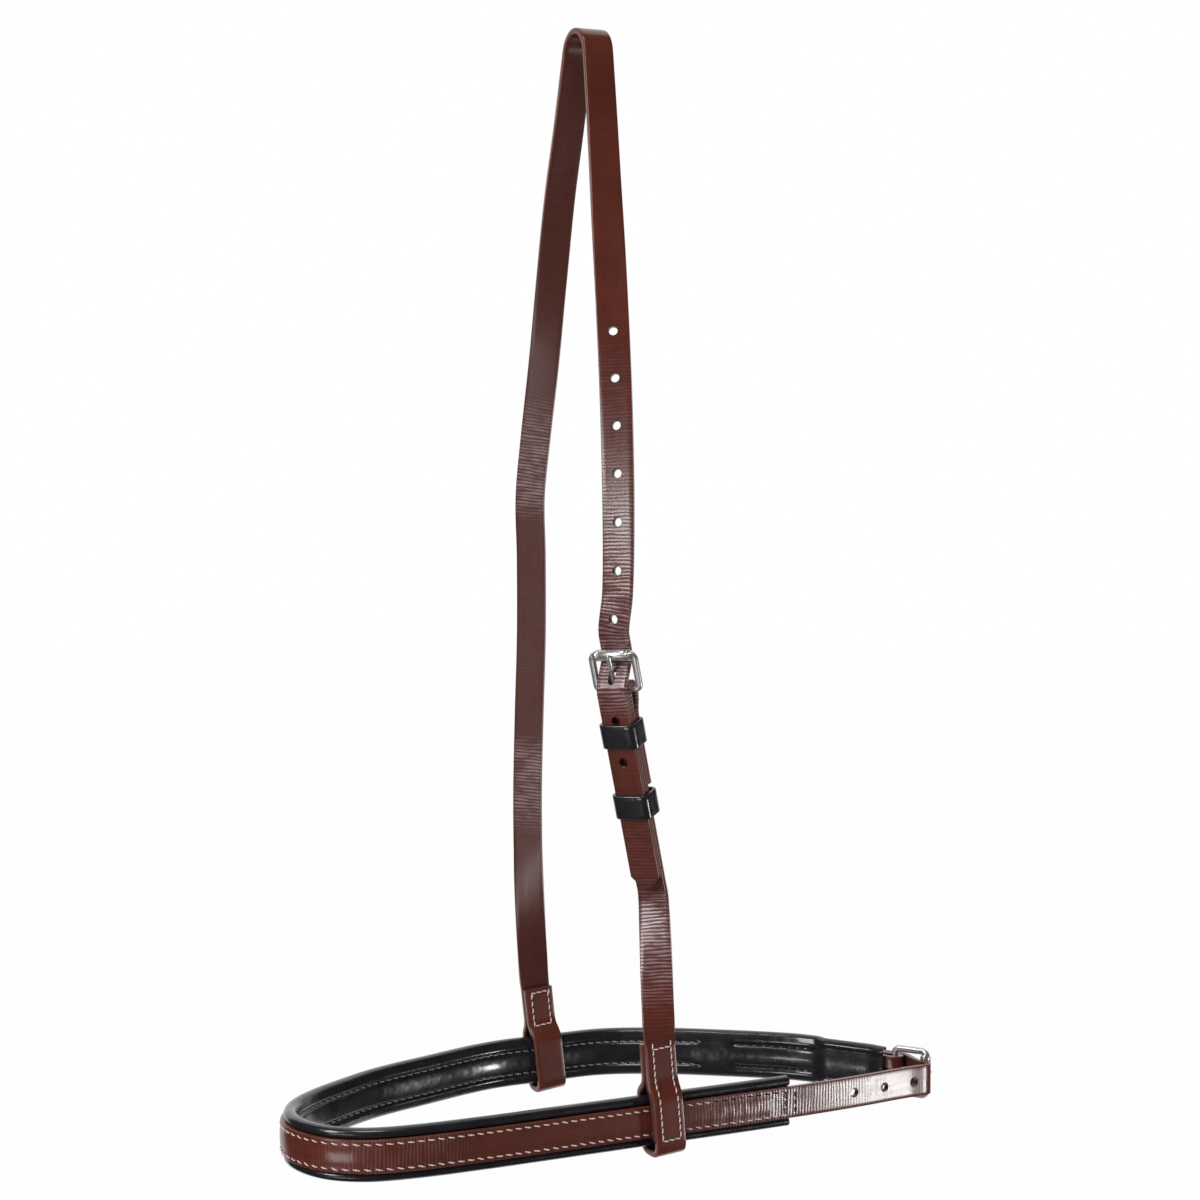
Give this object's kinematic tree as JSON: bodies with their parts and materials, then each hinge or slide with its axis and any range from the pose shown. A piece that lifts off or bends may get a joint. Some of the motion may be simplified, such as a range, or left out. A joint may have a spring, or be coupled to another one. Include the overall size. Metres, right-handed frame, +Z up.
{
  "type": "cavesson noseband",
  "caption": "Padded cavesson noseband hung in the loops of a rolled-buckle head strap, closed under the jaw with a second buckle.",
  "frame": {"origin": "underside of the crown, at the middle of the strap where it lies over the horse's poll", "axes": "+Z up, -X towards the horse's nose, -Y towards the near side, which carries the cheek buckle"},
  "size_m": [0.2862, 0.1248, 0.4554],
  "materials": {
    "chestnut_leather": "satin",
    "leather_filler": "matte",
    "black_leather": "gloss",
    "steel": "polished",
    "cream_thread": "matte",
    "black_thread": "matte",
    "foam": "matte",
    "piping_cord": "matte"
  },
  "bodies": {
    "head_strap": {"crown_strap": "chestnut_leather", "near_cheek_strap": "chestnut_leather", "near_loop_filler": "leather_filler", "near_loop_thread": "cream_thread", "far_loop_thread": "cream_thread", "cheek_chape_thread": "cream_thread", "cheek_upper_keeper": "black_leather"},
    "noseband": {"nose_strap": "chestnut_leather", "nose_lining": "black_leather", "nose_padding": "foam", "upper_edge_cord": "piping_cord", "lower_edge_cord": "piping_cord", "nose_upper_thread": "cream_thread", "nose_lower_thread": "cream_thread", "chin_chape_thread": "black_thread", "chin_fixed_keeper": "black_leather"},
    "cheek_frame": {"cheek_buckle_frame": "steel"},
    "cheek_roller": {"cheek_buckle_roller": "steel"},
    "cheek_tongue": {"cheek_buckle_tongue": "steel"},
    "cheek_runner": {"cheek_lower_keeper": "black_leather"},
    "chin_frame": {"chin_buckle_frame": "steel"},
    "chin_roller": {"chin_buckle_roller": "steel"},
    "chin_tongue": {"chin_buckle_tongue": "steel"},
    "chin_runner": {"chin_sliding_keeper": "black_leather"}
  },
  "joints": [
    {"name": "noseband_slide", "type": "slide", "parent": "head_strap", "child": "noseband", "axis": [1, 0, 0], "range_m": [-0.01, 0.01]},
    {"name": "cheek_frame_hinge", "type": "hinge", "parent": "head_strap", "child": "cheek_frame", "pos_m": [-0.0105, -0.0492, -0.2637], "axis": [0.5583, -0.8277, 0.0577], "range_deg": [0, 3]},
    {"name": "cheek_tongue_hinge", "type": "hinge", "parent": "cheek_frame", "child": "cheek_tongue", "pos_m": [-0.0105, -0.0492, -0.2637], "axis": [0.5583, -0.8277, 0.0577], "range_deg": [0, 3]},
    {"name": "cheek_roller_spin", "type": "hinge", "parent": "cheek_frame", "child": "cheek_roller", "pos_m": [-0.01393, -0.05057, -0.2502], "axis": [0.5583, -0.8277, 0.0577], "continuous": true},
    {"name": "cheek_keeper_slide", "type": "slide", "parent": "head_strap", "child": "cheek_runner", "axis": [0.2449, 0.098, -0.9646], "range_m": [-0.002, 0.023]},
    {"name": "chin_frame_hinge", "type": "hinge", "parent": "noseband", "child": "chin_frame", "pos_m": [0.1347, -0.0287, -0.4383], "axis": [0, 0, 1], "range_deg": [0, 3]},
    {"name": "chin_tongue_hinge", "type": "hinge", "parent": "chin_frame", "child": "chin_tongue", "pos_m": [0.1347, -0.0287, -0.4383], "axis": [0, 0, 1], "range_deg": [0, 3]},
    {"name": "chin_roller_spin", "type": "hinge", "parent": "chin_frame", "child": "chin_roller", "pos_m": [0.14273, -0.04017, -0.4383], "axis": [0, 0, 1], "continuous": true},
    {"name": "chin_keeper_slide", "type": "slide", "parent": "noseband", "child": "chin_runner", "axis": [-0.5736, 0.8192, 0], "range_m": [-0.001, 0.0025]}
  ]
}
